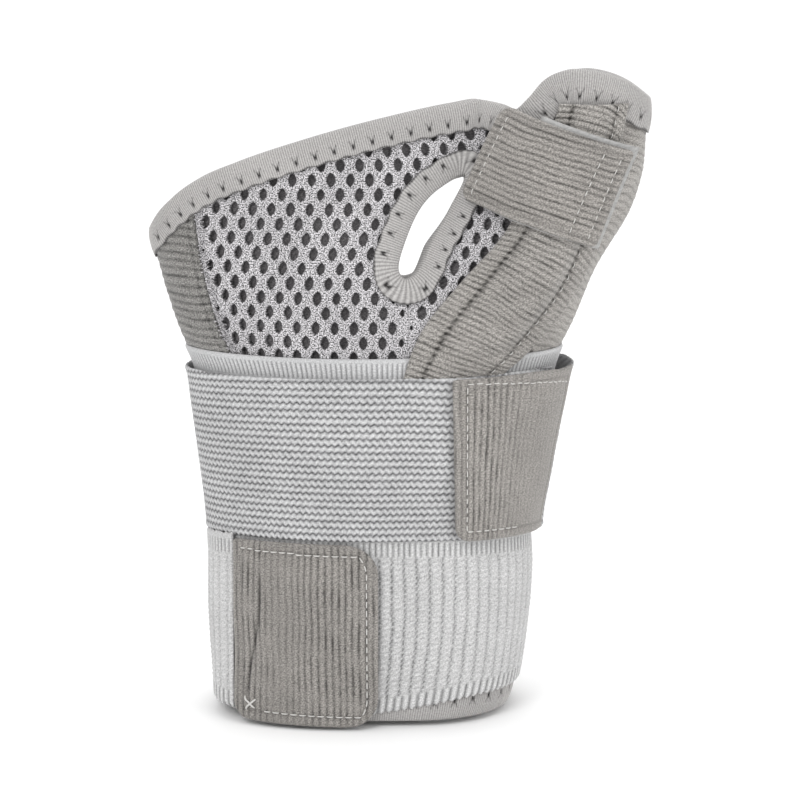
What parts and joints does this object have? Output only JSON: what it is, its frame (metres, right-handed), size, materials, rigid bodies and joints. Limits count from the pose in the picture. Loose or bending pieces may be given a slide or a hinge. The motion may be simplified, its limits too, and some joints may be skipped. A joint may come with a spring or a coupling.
{
  "type": "wrist and thumb brace",
  "caption": "Fingerless fabric sleeve for wrist, palm and thumb with a stayed thumb pocket, two wrap-round wrist straps and a thumb strap",
  "frame": {"origin": "middle of the base of the box round the whole object, on the plane of the lower binding", "axes": "+Z from the forearm to the fingers, -Y towards the palm side, +X towards the thumb"},
  "size_m": [0.1192, 0.0599, 0.1551],
  "materials": {
    "spacer_mesh": "knitted spacer mesh with oval holes",
    "lining_cloth": "dark knitted lining",
    "loop_cloth": "ribbed loop cloth",
    "pocket_cloth": "ribbed loop cloth",
    "tab_cloth": "corded loop cloth",
    "binding_tape": "ribbed stretch binding",
    "knitted_elastic": "knitted elastic webbing",
    "pile_elastic": "elastic webbing with loop pile",
    "hook_tape": "nylon hook tape",
    "stay_metal": "satin sheet"
  },
  "bodies": {
    "sleeve": {"ulnar_edge_panel": "loop_cloth", "palm_mesh_panel": "spacer_mesh", "back_hand_panel": "spacer_mesh", "thumb_mesh_panel": "spacer_mesh", "thumb_back_panel": "loop_cloth", "hand_lining": "lining_cloth", "thumb_lining": "lining_cloth", "finger_opening_binding": "binding_tape", "thumb_opening_binding": "binding_tape", "web_binding_palm": "binding_tape", "web_binding_back": "binding_tape", "wrist_opening_binding": "binding_tape", "stay_pocket": "pocket_cloth", "thumb_stay": "stay_metal", "upper_strap_underlap": "knitted_elastic", "upper_strap_elastic": "knitted_elastic", "lower_strap_elastic": "pile_elastic"},
    "upper_tab": {"upper_strap_tab": "tab_cloth", "upper_strap_hook_patch": "hook_tape"},
    "lower_tab": {"lower_strap_tab": "tab_cloth", "lower_strap_hook_patch": "hook_tape"},
    "thumb_flap": {"thumb_strap": "tab_cloth", "thumb_strap_hook_patch": "hook_tape"}
  },
  "joints": [
    {"name": "upper_tab_peel", "type": "hinge", "parent": "sleeve", "child": "upper_tab", "pos_m": [0.03772, -0.00374, 0.06288], "axis": [0.1735, 0.0032, 0.9848], "range_deg": [0, 100]},
    {"name": "lower_tab_peel", "type": "hinge", "parent": "sleeve", "child": "lower_tab", "pos_m": [-0.03903, -0.01817, 0.02194], "axis": [-0.0003, -0.0521, -0.9986], "range_deg": [0, 100]},
    {"name": "thumb_strap_peel", "type": "hinge", "parent": "sleeve", "child": "thumb_flap", "pos_m": [0.01933, -0.01707, 0.13602], "axis": [-0.4285, -0.0129, -0.9035], "range_deg": [0, 100]}
  ]
}
